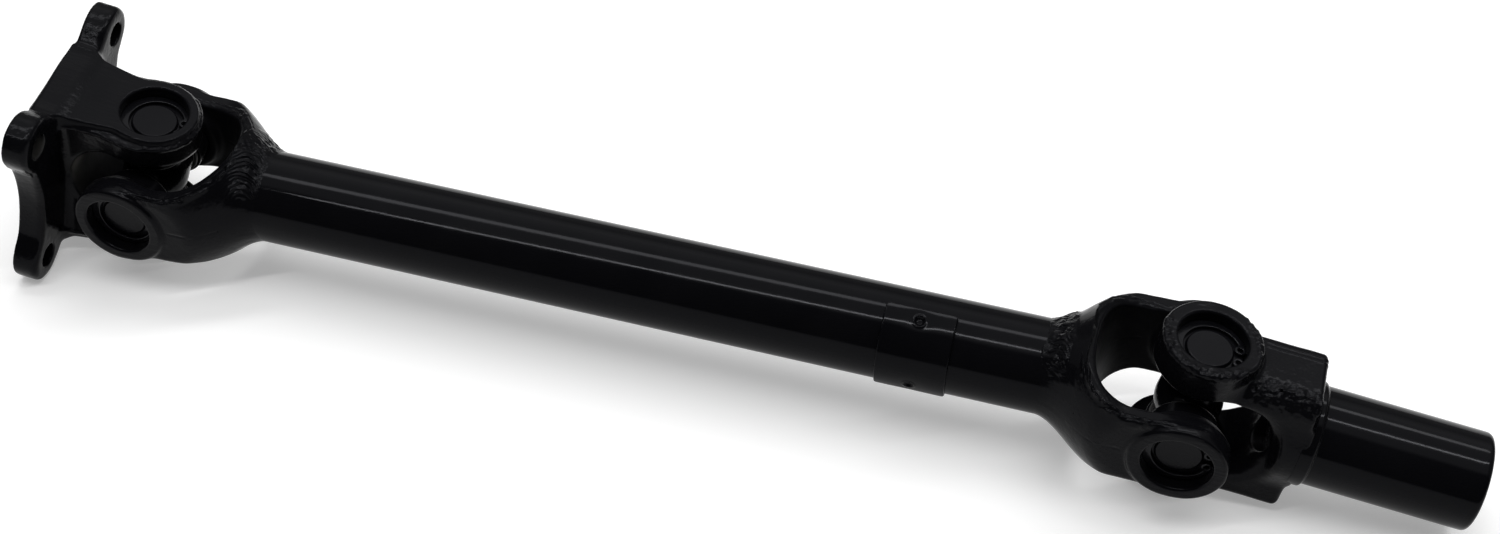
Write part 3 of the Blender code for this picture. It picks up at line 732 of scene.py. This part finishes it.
def slip_yoke_worked(x, y, z):
    """1 on the lug faces inside their rims and in the bores, 0 on the forged skin."""
    ring = np.hypot(x, y)
    return np.maximum(on_face(np.abs(z)) * (1 - ramp(ring, 16.0, 17.5)), in_bore(ring))


def cross_field(x, y, z, fine=True):
    """Journal cross: two shouldered bars through a round body, with fillets between them."""
    solid = np.sqrt(x * x + y * y + z * z) - CROSS_BALL
    for along, side in ((y, np.hypot(x, z)), (z, np.hypot(x, y))):
        reach = np.abs(along)
        bar = overlap(side - CROSS_BAR, reach - CROSS_SHOULDER, 1.2)
        trunnion = overlap(side - TRUNNION_RADIUS, reach - TRUNNION_END, 1.0)
        solid = merge(solid, merge(bar, trunnion, 0.6), 3.0)
    if fine:
        solid = solid - skin_waves(x, y, z) * 0.8 * (1 - ramp(np.maximum(np.abs(y), np.abs(z)), 12.0, 13.0))
    return solid


def forging(name, posture, field, low, high, step, **looks):
    """Mesh of a forged piece, with a layer for each named function of its places."""
    verts, quads, normals = skinned(field, low, high, step)
    layers = {key: look(*verts.T) for key, look in looks.items()}
    verts, normals = placed(posture, verts, normals)
    return mesh_object(name, verts, [quads], normals, **layers)


for end in ("front", "rear"):
    shape, torn, dull = (partial(f, end=end) for f in (tube_yoke_field, flash_line, tube_yoke_dull))
    yoke = forging(
        f"{end}_tube_yoke_forging", end, shape, (-20, -37, -27), (61, 37, 27), 0.54,
        worked=tube_yoke_worked, torn=torn, dull=dull,
    )
    add(yoke, FORGING_PAINT, "shaft_assembly", "forging_paint", f"{end}_tube_yoke")
    spider = forging(f"{end}_cross_forging", f"{end}_cross", cross_field, (-14, -26, -26), (14, 26, 26), 0.6)
    add(spider, FORGING_PAINT, f"{end}_spider", "forging_paint", f"{end}_cross")

# Besides its worked, torn and dull layers, the flange carries one of painted light: a pale patch in its throat and in
# one bolt hole
flange = forging(
    "flange_yoke_forging", "flange", flange_yoke_field, (-46, -49, -47), (21, 49, 47), 0.62,
    worked=flange_yoke_worked, torn=flange_yoke_torn, dull=flange_yoke_dull, thin=flange_yoke_thin,
)
add(flange, FORGING_PAINT, "flange_end", "forging_paint", "flange_yoke")
fork = forging(
    "slip_yoke_fork", "slip", slip_yoke_field, (-21, -22, -37), (46, 22, 37), 0.55,
    worked=slip_yoke_worked, torn=slip_yoke_torn, dull=slip_yoke_dull,
)
add(fork, FORGING_PAINT, "slip_end", "forging_paint", "slip_yoke")


# Turned pieces

def rounded(points, steps=5):
    """Profile through (along, radius, round) corners, each turned into an arc of that round by a quadratic curve."""
    path = []
    count = len(points)
    for place, (along, radius, fillet) in enumerate(points):
        here = np.array([along, radius])
        if fillet == 0 or place in (0, count - 1):
            path.append(here)
            continue
        before = np.array(points[place - 1][:2]) - here
        after = np.array(points[place + 1][:2]) - here
        start = here + before / np.linalg.norm(before) * fillet
        finish = here + after / np.linalg.norm(after) * fillet
        for t in np.linspace(0, 1, steps + 1):
            path.append((1 - t) ** 2 * start + 2 * t * (1 - t) * here + t * t * finish)
    return np.array(path)


def turned(profile, segments, closed=False):
    """Places and faces of a profile of (along, radius) points carried once round the X axis.

    A profile that starts or ends on the axis is closed there by one point; a closed one joins its own ends.
    """
    angle = np.arange(segments) * 2 * math.pi / segments
    along, radius = profile.T
    keep = radius > 1e-9
    rows = profile[keep]
    verts = np.stack([
        np.broadcast_to(rows[:, :1], (len(rows), segments)),
        rows[:, 1:] * np.cos(angle),
        rows[:, 1:] * np.sin(angle),
    ], 2).reshape(-1, 3)
    faces = [sheet_faces(len(rows), segments, close_rows=closed)]
    ring = np.arange(segments)
    for tip, first, order in ((0, 0, 1), (-1, (len(rows) - 1) * segments, -1)):
        if not keep[tip]:
            verts = np.concatenate([verts, [[along[tip], 0, 0]]])
            fan = np.stack([np.full(segments, len(verts) - 1), first + (ring + 1) % segments, first + ring], 1)
            faces.append(fan[:, ::order])
    return verts, faces


def outward(verts, faces):
    """Faces turned so that the closed surface's volume, the sum of its corner tetrahedra, is positive."""
    volume = 0.0
    for group in faces:
        a, b, c = (verts[group[:, i]] for i in (0, 1, 2))
        volume += np.einsum("ij,ij->", a, np.cross(b, c))
        if group.shape[1] == 4:
            a, b, c = (verts[group[:, i]] for i in (0, 2, 3))
            volume += np.einsum("ij,ij->", a, np.cross(b, c))
    return faces if volume > 0 else [group[:, ::-1] for group in faces]


def turned_piece(name, posture, profile, segments, closed=False, direction=None):
    """Turned mesh in its joint's place; with a direction, its axis is laid along that one."""
    verts, faces = turned(profile, segments, closed)
    faces = outward(verts, faces)
    if direction is not None:
        along = np.array(direction, float)
        verts = verts @ np.stack([along, np.cross((1.0, 0, 0), along), (1.0, 0, 0)])
    return mesh_object(name, placed(posture, verts), faces)


tube_end = JOINT_SPAN - TUBE_START
tube_bore = TUBE_RADIUS - TUBE_WALL
stations = np.linspace(TUBE_START + 0.4, tube_end - 0.4, 90)
tube_profile = np.concatenate([
    np.stack([stations, np.full(90, TUBE_RADIUS)], 1),
    [[tube_end, TUBE_RADIUS - 0.4], [tube_end, tube_bore], [TUBE_START, tube_bore], [TUBE_START, TUBE_RADIUS - 0.4]],
])
tube = turned_piece("shaft_tube_skin", "front", tube_profile, 192, closed=True)
add(tube, TUBE_PAINT, "shaft_assembly", "tube_paint", "shaft_tube")


def cup_profile(lift):
    """Half section of a bearing cup: its bore, skirt and end, with the end's raised disc lifted by so much."""
    return rounded([
        (CUP_INSIDE, 0.0, 0), (CUP_INSIDE, CUP_BORE, 0.4), (CUP_START, CUP_BORE, 0.2), (CUP_START, CUP_RADIUS, 0.5),
        (CUP_END - 0.2, CUP_RADIUS, 0.7), (CUP_END - 0.2, 9.3, 0.2), (CUP_END + lift - 0.3, 9.0, 0.15),
        (CUP_END + lift, 8.7, 0.3), (CUP_END + lift - 0.1, 4.0, 1.5), (CUP_END + lift - 0.1, 0.0, 0),
    ])


SEAL_PROFILE = rounded([
    (SEAL_START, TRUNNION_RADIUS + 0.3, 0.1), (SEAL_START, 10.4, 0.3), (SEAL_START + 0.3, 10.9, 0.3),
    (SEAL_START, SEAL_RADIUS - 0.5, 0.3), (SEAL_START + 0.35, SEAL_RADIUS, 0.3), (SEAL_END, SEAL_RADIUS, 0.3),
    (SEAL_END, TRUNNION_RADIUS + 0.3, 0.1), (SEAL_START, TRUNNION_RADIUS + 0.3, 0),
])[:-1]


def clip_field(a, u, v, fine=True):
    """Inside circlip lying square to its first axis: a ring that thins towards a gap, with an eyed ear at each end."""
    radius = np.hypot(u, v)
    back = 0.5 - 0.5 * u / np.maximum(radius, 1e-6)
    inner = 11.7 - 1.5 * back
    ring = overlap(radius - CLIP_RADIUS, inner - radius, 0.4)
    ring = carve(ring, overlap(np.abs(v) - 2.4, -u, 0.5), 0.4)
    ear = np.hypot(u - 11.3, np.abs(v) - 3.2)
    flat = carve(merge(ring, ear - 2.2, 1.0), ear - 1.0, 0.3)
    return overlap(flat, np.abs(a - CLIP_MIDDLE) - CLIP_HALF, 0.45)


CLIP = skinned(clip_field, (CLIP_LOW, -15, -15), (CLIP_HIGH, 15, 15), 0.27, relax=1)
SIDES = {"left": (0, 1, 0), "right": (0, -1, 0), "top": (0, 0, 1), "bottom": (0, 0, -1)}
for joint, hung, hung_body in (("front", "flange", "flange_end"), ("rear", "slip", "slip_end")):
    for side, direction in SIDES.items():
        upright = side in ("top", "bottom")
        posture = hung if upright else f"{joint}_level"
        body = hung_body if upright else "shaft_assembly"
        where = f"{joint}_{side}"
        lift = 1.4 if upright else 0.6
        cup = turned_piece(f"{where}_cup_shell", posture, cup_profile(lift), 96, direction=direction)
        add(cup, CUP_PAINT, body, "forging_paint", f"{where}_cup")
        seal = turned_piece(f"{where}_seal_ring", posture, SEAL_PROFILE, 72, closed=True, direction=direction)
        add(seal, SEAL_RUBBER, body, "seal_rubber", f"{where}_seal")
        along = np.array(direction, float)
        turn = np.stack([along, (1.0, 0, 0), np.cross(along, (1.0, 0, 0))])
        verts, normals = placed(posture, CLIP[0] @ turn, CLIP[2] @ turn)
        clip = mesh_object(f"{where}_circlip_eyed", verts, [CLIP[1]], normals)
        add(clip, CLIP_PAINT, body, "clip_steel", f"{where}_circlip")
        for place in frame["nodes"][f"{where}_needles"].material_slots:
            place.material = NEEDLE_STEEL

PLUG_PROFILE = rounded([
    (SLIP_THROAT + 0.9, 0.0, 0), (SLIP_THROAT + 0.9, 5.0, 1.5), (SLIP_THROAT + 0.6, 8.0, 1.5),
    (SLIP_THROAT + 0.6, PLUG_RADIUS, 0.6), (SLIP_THROAT + 2.8, PLUG_RADIUS, 0.3), (SLIP_THROAT + 2.8, 0.0, 0),
])
plug = turned_piece("slip_yoke_plug_disc", "slip", PLUG_PROFILE, 96)
add(plug, CUP_PAINT, "slip_end", "forging_paint", "slip_yoke_plug")


def barrel():
    """Barrel of the slip yoke: a turned profile whose bore rows carry straight-sided teeth round the axis."""
    outer = rounded([
        (BARREL_START, RELIEF_RADIUS, 0), (BARREL_START, COLLAR_RADIUS, 0.5), (COLLAR_END, COLLAR_RADIUS, 0.9),
        (COLLAR_END + 0.5, BARREL_RADIUS, 0.5), (BARREL_END, BARREL_RADIUS, 2.5), (BARREL_END, 15.9, 0.4),
        (BARREL_END - 2.2, SPLINE_MINOR, 0),
    ], 8)[:-1]
    plain = np.linspace(COLLAR_END + 2.0, BARREL_END - 4.0, 24)
    split = np.searchsorted(outer[:, 0], plain[0])
    outer = np.concatenate([outer[:split], np.stack([plain, np.full(24, BARREL_RADIUS)], 1), outer[split:]])
    bore = np.array([
        (BARREL_END - 1.0, 14.6, 0.0), (BARREL_END - 1.5, SPLINE_MAJOR, 0.1), (BARREL_END - 2.2, SPLINE_MAJOR, 0.6),
        (BARREL_END - 2.9, SPLINE_MAJOR, 1.0), (SPLINE_START + 1.2, SPLINE_MAJOR, 1.0),
        (SPLINE_START, SPLINE_MAJOR, 0.2), (SPLINE_START - 0.4, RELIEF_RADIUS, 0.0),
        (BARREL_START + 0.8, RELIEF_RADIUS, 0.0),
    ])
    rows = np.concatenate([np.column_stack([outer, np.zeros(len(outer))]), bore])
    segments = SPLINE_TEETH * 16
    angle = np.arange(segments) * 2 * math.pi / segments
    wave = np.cos(SPLINE_TEETH * angle)
    tooth = np.clip(0.5 - 1.6 * (wave + 0.1), 0, 1) * (SPLINE_MAJOR - SPLINE_MINOR)
    radius = rows[:, 1:2] - rows[:, 2:] * tooth
    verts = np.stack([
        np.broadcast_to(rows[:, :1], radius.shape), radius * np.cos(angle), radius * np.sin(angle)
    ], 2).reshape(-1, 3)
    faces = outward(verts, [sheet_faces(len(rows), segments, close_rows=True)])
    return mesh_object("slip_yoke_barrel", placed("slip", verts), faces)


add(barrel(), TUBE_PAINT, "slip_end", "forging_paint")


def weld(name, end, seed):
    """Weld round the tube: a band that leaves the dome along its slope and eases into the tube by a cubic curve.

    Over its upper half a bead swells. Its overlapping puddles are teeth of a sawtooth in the angle, bent into crescents
    by the square of the distance from the bead's middle; its width, height and spacing drift with noise.
    """
    columns, rows = 1080, 40
    angle = np.arange(columns)[None, :] * 2 * math.pi / columns
    share = np.linspace(0, 1, rows)[:, None]
    ax, ay = 9.0 * np.cos(angle), 9.0 * np.sin(angle)

    def drift(size, shift):
        """Noise that depends on the angle only."""
        return grain(ax, ay, 0 * ax, size, seed + shift)

    near = np.cos(angle) if end == "rear" else -np.cos(angle)
    upper = ramp(np.sin(angle) - 0.35 * near, 0.26, 0.5)
    start = WELD_START + 0.7 * drift(4.2, 0) + 0.4 * drift(1.1, 1)
    finish = WELD_END[end] + 0.9 * drift(3.1, 2) + 0.5 * drift(1.0, 3)
    along = start + (finish - start) * share
    fall = (hub_dome(start + 0.5, end) - hub_dome(start - 0.5, end)) * (finish - start)
    ease = share * share * (3 - 2 * share)
    base = (hub_dome(start, end) - 0.06) * (1 - ease) + fall * share * (1 - share) ** 2 + (TUBE_RADIUS - 0.05) * ease
    bead = np.sin(math.pi * share) if end == "front" else ramp(share, 0.34, 0.5) * np.sin(math.pi * share)
    middle = 2 * share - 1 if end == "front" else np.clip(3.2 * share - 2.2, -1, 1)
    run = angle if end == "front" else math.pi - angle
    ring = (along, 20 * np.cos(angle) + 0 * along, 20 * np.sin(angle) + 0 * along)
    phase = WELD_PUDDLES * run / (2 * math.pi) - 3.4 * middle * middle + 1.1 * drift(4.2, 0) + 0.4 * drift(1.1, 1)
    phase = phase + 0.4 * grain(*ring, 2.5, seed + 6)
    tooth = phase - np.floor(phase)
    puddles = tooth ** 1.3 * (1 - ramp(tooth, 0.8, 1.0)) - 0.3
    rippled = 0.25 + 0.75 * ramp(near, -0.2, 0.3) if end == "front" else 0.55
    lumps = (0.5 if end == "front" else 0.85) * grain(*ring, 2.2, seed + 5) + 0.25 * grain(*ring, 1.2, seed + 8)
    swell = 0.55 + 0.25 * drift(4.2, 0) + 0.85 * rippled * (1 + 0.7 * drift(5.0, 4)) * puddles + lumps
    radius = base + upper * bead ** 0.75 * swell
    off = 1 - share
    shift_y = off * (DOME_OFF[0] if end == "front" else -DOME_OFF[0])
    outer = np.stack([
        along + 0 * angle, radius * np.cos(angle) + shift_y, radius * np.sin(angle) + off * DOME_OFF[1]
    ], 2)
    inside = np.array([[54.0], [44.0]])
    inner = np.stack([
        inside + 0 * angle, WELD_INSIDE * np.cos(angle) + 0 * inside, WELD_INSIDE * np.sin(angle) + 0 * inside
    ], 2)
    verts = np.concatenate([outer, inner]).reshape(-1, 3)
    faces = outward(verts, [sheet_faces(rows + 2, columns, close_rows=True)])
    torn = np.concatenate([0.6 * upper * bead, np.zeros((2, columns))]).ravel()
    return mesh_object(name, placed(end, verts), faces, torn=torn)


for end, seed in (("front", 20), ("rear", 40)):
    add(weld(f"{end}_weld_bead", end, seed), WELD_PAINT, "shaft_assembly", "tube_paint", f"{end}_weld")


def balance_weight():
    """Curved plate on the tube: its height above the tube is a rounded edge rising to the plate's thickness.

    The distance to the plate's rounded outline gives the edge, and each spot weld is a pit with a raised lip.
    """
    first, last = np.radians(WEIGHT_ANGLES)
    outer = WEIGHT_LOW + WEIGHT_THICKNESS

    def spread(count, edge):
        """Shares from 0 to 1, closer together near both ends."""
        fine = 1 - np.cos(np.linspace(0, math.pi / 2, 14))
        inside = np.linspace(fine[-1] * edge, 2 - fine[-1] * edge, count)[1:-1]
        return np.concatenate([fine * edge, inside, (2 - fine * edge)[::-1]]) / 2

    turn = first + (last - first) * spread(150, 0.045)[:, None]
    along = (spread(90, 0.06)[None, :] - 0.5) * WEIGHT_LENGTH
    arc_half = (last - first) / 2 * outer
    side = np.abs((turn - (first + last) / 2) * outer) - arc_half
    end = np.abs(along) - WEIGHT_LENGTH / 2
    corner = np.hypot(np.maximum(side + WEIGHT_CORNER, 0), np.maximum(end + WEIGHT_CORNER, 0)) - WEIGHT_CORNER
    gap = np.where(np.minimum(side, end) > -WEIGHT_CORNER, corner, np.maximum(side, end))
    lift = np.clip(-gap / WEIGHT_EDGE, 0, 1)
    height = WEIGHT_THICKNESS * np.sqrt(np.clip(1 - (1 - lift) ** 2, 0, 1))
    for spot in np.radians(WEIGHT_SPOTS):
        reach = np.hypot((turn - spot) * outer, along + 0 * turn)
        pit = 0.95 * np.exp(-((reach / 1.75) ** 6)) - 0.2 * hump(reach, 2.35, 0.45)
        height = height - np.minimum(height, 1.0) * (pit + 0.24 * hump(reach, 0.0, 4.6))
    radius = WEIGHT_LOW + np.maximum(height, 0.0)
    shape = radius.shape
    turn, along = np.broadcast_to(turn, shape), np.broadcast_to(along, shape)
    top = np.stack([along, -radius * np.sin(turn), radius * np.cos(turn)], 2).reshape(-1, 3)
    low = WEIGHT_LOW - 0.2
    under = np.stack([along, -low * np.sin(turn), low * np.cos(turn)], 2).reshape(-1, 3)
    count = shape[0] * shape[1]
    upper = sheet_faces(*shape, close_columns=False)
    rim = np.concatenate([
        np.arange(shape[1]), np.arange(2, shape[0] + 1) * shape[1] - 1,
        count - 2 - np.arange(shape[1] - 1), np.arange(shape[0] - 2, 0, -1) * shape[1],
    ])
    wall = np.stack([np.roll(rim, -1), rim, rim + count, np.roll(rim, -1) + count], 1)
    faces = outward(np.concatenate([top, under]), [upper, upper[:, ::-1] + count, wall])
    verts = np.concatenate([top, under]) + (WEIGHT_CENTRE, 0, 0)
    return mesh_object("balance_weight_plate", placed("front", verts), faces)


add(balance_weight(), TUBE_PAINT, "shaft_assembly", "tube_paint", "balance_weight")


# Studio: a pale floor, a tent of plain panels that the camera can't see, and two long lamps

FLOOR_HALF = 6000.0
FLOOR_GLOW = 0.30
TENT_RADIUS = 5000.0
TENT_SHADES = (
    (0.0, 0.22), (0.13, 0.3), (0.22, 1.15), (0.3, 1.2), (0.36, 1.1), (0.6, 1.1), (0.64, 0.05), (1.0, 0.06)
)
STRIP_LENGTH = 2.1
STRIP_HEIGHT = 1.54
STRIP_ALONG = 0.08
STRIP_SLANT = math.radians(28.5)


def floor():
    """Pale paper that keeps the object's shadow; the camera and reflections also see it glow a little."""
    material, tree, shader = new_material("floor_paper")
    shader.inputs["Base Color"].default_value = (0.8, 0.8, 0.8, 1.0)
    shader.inputs["Roughness"].default_value = 0.9
    shader.inputs["Specular IOR Level"].default_value = 0.0
    shader.inputs["Emission Color"].default_value = (1.0, 1.0, 1.0, 1.0)
    path = node(tree, "LightPath", {}).outputs
    seen = path["Is Camera Ray"]
    for kind in ("Is Glossy Ray", "Is Transmission Ray"):
        seen = sums(tree, "MAXIMUM", seen, path[kind])
    tree.links.new(sums(tree, "MULTIPLY", seen, FLOOR_GLOW), shader.inputs["Emission Strength"])
    verts = FLOOR_HALF * np.array([(-1, -1, 0), (1, -1, 0), (1, 1, 0), (-1, 1, 0)])
    item = mesh_object("floor", verts, [np.array([[0, 1, 2, 3]])])
    item.data.materials.append(material)


def tent():
    """Half sphere of panels whose glow depends on the angle round the X axis: far wall, ceiling, dark near side."""
    material, tree, shader = new_material("tent_panels")
    spot = node(tree, "TexCoord", {}).outputs["Object"]
    split = node(tree, "SeparateXYZ", {"Vector": spot}).outputs
    round_x = sums(tree, "ARCTAN2", split["Z"], split["Y"])
    shades = node(tree, "ValToRGB", {"Fac": sums(tree, "DIVIDE", round_x, math.pi)})
    stops = shades.color_ramp.elements
    while len(stops) < len(TENT_SHADES):
        stops.new(0.5)
    for stop, (place, level) in zip(stops, TENT_SHADES):
        stop.position = place
        stop.color = (level, level, level, 1.0)
    reach = sums(tree, "ABSOLUTE", split["X"], 0.0)
    ends = spanned(tree, reach, 0.38 * TENT_RADIUS * MM, 0.66 * TENT_RADIUS * MM, 1.0, 0.35)
    glow = node(tree, "Emission", {"Color": shades.outputs["Color"], "Strength": ends})
    tree.links.new(glow.outputs["Emission"], tree.nodes["Material Output"].inputs["Surface"])
    tree.nodes.remove(shader)
    rows, columns = 24, 96
    rise = np.linspace(0, math.pi / 2 * 0.999, rows)[:, None]
    angle = np.arange(columns)[None, :] * 2 * math.pi / columns
    verts = TENT_RADIUS * np.stack([
        np.cos(rise) * np.cos(angle), np.cos(rise) * np.sin(angle), np.sin(rise) + 0 * angle
    ], 2).reshape(-1, 3)
    item = mesh_object("tent", verts, [sheet_faces(rows, columns)[:, ::-1]])
    item.data.materials.append(material)
    item.visible_camera = False
    item.visible_shadow = False


def strip(name, side, width, radiance):
    """Long lamp level over the shaft and slanted across it, with a given radiance.

    Its middle lies off to one side; its watts are pi times its area times the radiance.
    """
    data = bpy.data.lights.new(name, "AREA")
    data.shape = "RECTANGLE"
    data.size = STRIP_LENGTH
    data.size_y = width
    data.energy = math.pi * width * STRIP_LENGTH * radiance
    item = bpy.data.objects.new(name, data)
    item.location = (STRIP_ALONG, side, STRIP_HEIGHT)
    item.rotation_euler = (0.0, 0.0, STRIP_SLANT)
    bpy.context.scene.collection.objects.link(item)


floor()
tent()
strip("soft_strip", 0.65, 0.2, 7.6)
strip("edge_strip", -0.3, 0.05, 32.0)

world = bpy.data.worlds.new("room")
bpy.context.scene.world = world
world.use_nodes = True
world.node_tree.nodes["Background"].inputs["Color"].default_value = (0.95, 0.95, 0.95, 1.0)


# Camera

AZIMUTH, ELEVATION, ROLL = np.radians((-14.0, 45.93, 2.11))
FOCAL_PIXELS = 2161.8
IMAGE_WIDTH = 1500
SENSOR_WIDTH = 36.0
CAMERA_PLACE = FRONT + (400.97, -573.28, 629.86)
forward = np.array([
    math.sin(AZIMUTH) * math.cos(ELEVATION), math.cos(AZIMUTH) * math.cos(ELEVATION), -math.sin(ELEVATION)
])
level = np.cross(forward, (0, 0, 1))
level /= np.linalg.norm(level)
rising = np.cross(level, forward)
right = level * math.cos(ROLL) + rising * math.sin(ROLL)
up = rising * math.cos(ROLL) - level * math.sin(ROLL)
camera_data = bpy.data.cameras.new("camera")
camera_data.sensor_fit = "HORIZONTAL"
camera_data.sensor_width = SENSOR_WIDTH
camera_data.lens = FOCAL_PIXELS / IMAGE_WIDTH * SENSOR_WIDTH
camera_data.clip_start = 0.01
camera = bpy.data.objects.new("camera", camera_data)
axes = Matrix(np.stack([right, up, -forward], 1).tolist())
camera.matrix_world = Matrix.Translation(CAMERA_PLACE * MM) @ axes.to_4x4()
bpy.context.scene.collection.objects.link(camera)
bpy.context.scene.camera = camera

bpy.context.scene.view_settings.view_transform = "Standard"
